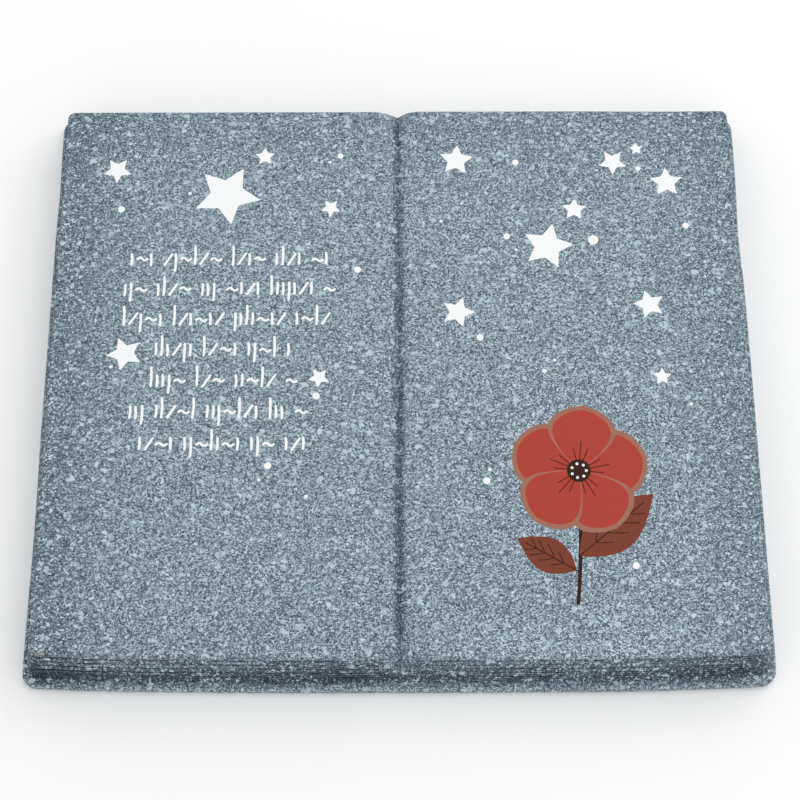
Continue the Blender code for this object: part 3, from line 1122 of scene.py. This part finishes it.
def stone_material(look, grain):
    """Speckled blue-grey cast stone, darker where its spray is thin and where shade is painted, with a
    brownish mark on one corner.
    """
    material, tree, shader, place = new_material("speckled_stone", look.roughness, STONE_GLOSS)
    # Thinner spray and painted shade from the mesh, more painted shade towards the page edges, and a
    # spot that lightens
    bare_and_shade = add_node(tree, "Attribute", {}, attribute_name="bare_and_shade").outputs["Fac"]
    thin_and_shade = add_math(tree, "ADD", bare_and_shade, add_shaded_edges(tree, place))
    thin_and_shade = add_math(tree, "MULTIPLY_ADD", add_spot(tree, place, *LIGHTER_SPOT), -LIGHTER_SPOT_GAIN, thin_and_shade)
    inputs = {"Vector": place, "Bare and shade": thin_and_shade, "Grain size": look.grain_size}
    node = add_node(tree, "Group", inputs, node_tree=grain)
    grains = [tuple(color) for color in (look.dark_grain, look.middle_grain, look.light_grain)]
    color = add_ramp(tree, node.outputs["Tone"], list(zip(GRAIN_STOPS, grains)))
    hue = mix_colors(tree, node.outputs["Hue"], WARM_TINT, COOL_TINT)
    color = mix_colors(tree, 1.0, color, hue, "MULTIPLY")
    strong = add_math(tree, "MULTIPLY", add_spot(tree, place, *STRONG_STAIN), STRONG_GAIN)
    stain = add_math(tree, "MULTIPLY_ADD", add_spot(tree, place, *FAINT_STAIN), WEAK_GAIN, strong)
    cloud = add_smooth_step(tree, add_noise(tree, place, *STAIN_CLOUD), *STAIN_RANGE)
    stain = add_math(tree, "MULTIPLY", stain, cloud, clamp=True)
    color = mix_colors(tree, stain, color, tuple(look.stain), "MULTIPLY")
    tree.links.new(color, shader.inputs["Base Color"])
    add_bump(tree, shader, node.outputs["Height"], *STONE_BUMP)
    return material


def ink_material(name, color, look, grain):
    """Printed ink: its colour with a faint trace of the stone's grain."""
    material, tree, shader, place = new_material(name, look.roughness, INK_GLOSS)
    inputs = {"Vector": place, "Grain size": INK_GRAIN}
    node = add_node(tree, "Group", inputs, node_tree=grain)
    darker = tuple(INK_SHADE * c for c in color)
    mixed = mix_colors(tree, node.outputs["Tone"], darker, color)
    tree.links.new(mixed, shader.inputs["Base Color"])
    add_bump(tree, shader, node.outputs["Height"], *INK_BUMP)
    return material


class PLAQUE_OT_cast_book(bpy.types.Operator):
    """Cast the open book in speckled stone and print its pages"""

    bl_idname = "plaque.cast_book"
    bl_label = "Cast the book"

    def execute(self, context):
        scene = context.scene
        mesh = casting_mesh(scene.plaque_sizes)
        grain = grain_group()
        inks = scene.plaque_print
        mesh.materials.append(stone_material(scene.plaque_stone, grain))
        for name in ("white", "red", "tan", "brown", "dark"):
            mesh.materials.append(ink_material("print_" + name, tuple(getattr(inks, name)), inks, grain))
        book = bpy.data.objects.new("plaque_casting", mesh)
        context.collection.objects.link(book)
        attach(book, "root")
        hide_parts("open_book")
        return {"FINISHED"}


def floor_material(color):
    """Plain pale floor with a hardly visible unevenness."""
    material, tree, shader, place = new_material("pale_floor", FLOOR_ROUGHNESS)
    cloud = add_noise(tree, place, *FLOOR_CLOUD)
    mixed = mix_colors(tree, cloud, tuple(FLOOR_SHADE * c for c in color), color)
    tree.links.new(mixed, shader.inputs["Base Color"])
    return material


def add_floor(context, color):
    """Large flat floor under the plaque."""
    mesh = bpy.data.meshes.new("studio_floor")
    corners = [(x * FLOOR_HALF, y * FLOOR_HALF, 0.0) for x, y in ((-1, -1), (1, -1), (1, 1), (-1, 1))]
    mesh.from_pydata(corners, [], [(0, 1, 2, 3)])
    mesh.materials.append(floor_material(color))
    floor = bpy.data.objects.new("studio_floor", mesh)
    context.collection.objects.link(floor)


def add_key_light(context, power):
    """Square soft light that faces the book."""
    data = bpy.data.lights.new("key_light", "AREA")
    data.size = KEY_SIZE
    data.energy = power
    light = bpy.data.objects.new("key_light", data)
    light.location = KEY_PLACE
    light.rotation_mode = "QUATERNION"
    light.rotation_quaternion = (-Vector(KEY_PLACE)).to_track_quat("-Z", "Y")
    context.collection.objects.link(light)


def add_sky(scene, strength):
    """Even white light from all round."""
    world = bpy.data.worlds.new("studio_sky")
    world.use_nodes = True
    background = world.node_tree.nodes["Background"]
    background.inputs["Color"].default_value = (1.0, 1.0, 1.0, 1.0)
    background.inputs["Strength"].default_value = strength
    scene.world = world


def add_camera(context):
    """Camera that looks down on the book as the photo does."""
    data = bpy.data.cameras.new("photo_camera")
    data.lens = CAMERA_LENS
    camera = bpy.data.objects.new("photo_camera", data)
    elevation = math.radians(CAMERA_ELEVATION)
    azimuth = math.radians(CAMERA_AZIMUTH)
    level = math.cos(elevation)
    forward = Vector((level * math.sin(azimuth), level * math.cos(azimuth), -math.sin(elevation)))
    camera.location = Vector(CAMERA_TARGET) - forward * CAMERA_DISTANCE
    camera.rotation_mode = "QUATERNION"
    camera.rotation_quaternion = forward.to_track_quat("-Z", "Y")
    context.collection.objects.link(camera)
    context.scene.camera = camera


class PLAQUE_OT_set_stage(bpy.types.Operator):
    """Set up the pale floor, the soft lights and the camera"""

    bl_idname = "plaque.set_stage"
    bl_label = "Set the stage"

    def execute(self, context):
        studio = context.scene.plaque_studio
        add_floor(context, tuple(studio.floor))
        add_key_light(context, studio.key_power)
        add_sky(context.scene, studio.sky_strength)
        add_camera(context)
        context.scene.view_settings.view_transform = "Standard"
        return {"FINISHED"}


class PLAQUE_PT_panel(bpy.types.Panel):
    """Panel that lists the plaque's operators and values"""

    bl_idname = "PLAQUE_PT_panel"
    bl_label = "Open book plaque"
    bl_space_type = "VIEW_3D"
    bl_region_type = "UI"
    bl_category = "Plaque"

    def draw(self, context):
        layout = self.layout
        for operator in OPERATORS:
            layout.operator(operator.bl_idname)
        for group in PROPERTY_GROUPS:
            box = layout.box()
            values = getattr(context.scene, PROPERTY_GROUPS[group])
            for name in group.__annotations__:
                box.prop(values, name)


PROPERTY_GROUPS = {
    CastingSizes: "plaque_sizes",
    StoneLook: "plaque_stone",
    PrintLook: "plaque_print",
    StudioLook: "plaque_studio",
}
OPERATORS = (PLAQUE_OT_cast_book, PLAQUE_OT_set_stage)


def register():
    for group, name in PROPERTY_GROUPS.items():
        bpy.utils.register_class(group)
        setattr(bpy.types.Scene, name, PointerProperty(type=group))
    for cls in (*OPERATORS, PLAQUE_PT_panel):
        bpy.utils.register_class(cls)


def unregister():
    for cls in (PLAQUE_PT_panel, *reversed(OPERATORS)):
        bpy.utils.unregister_class(cls)
    for group, name in reversed(PROPERTY_GROUPS.items()):
        delattr(bpy.types.Scene, name)
        bpy.utils.unregister_class(group)


def main():
    register()
    bpy.ops.plaque.cast_book()
    bpy.ops.plaque.set_stage()


if __name__ == "__main__":
    main()
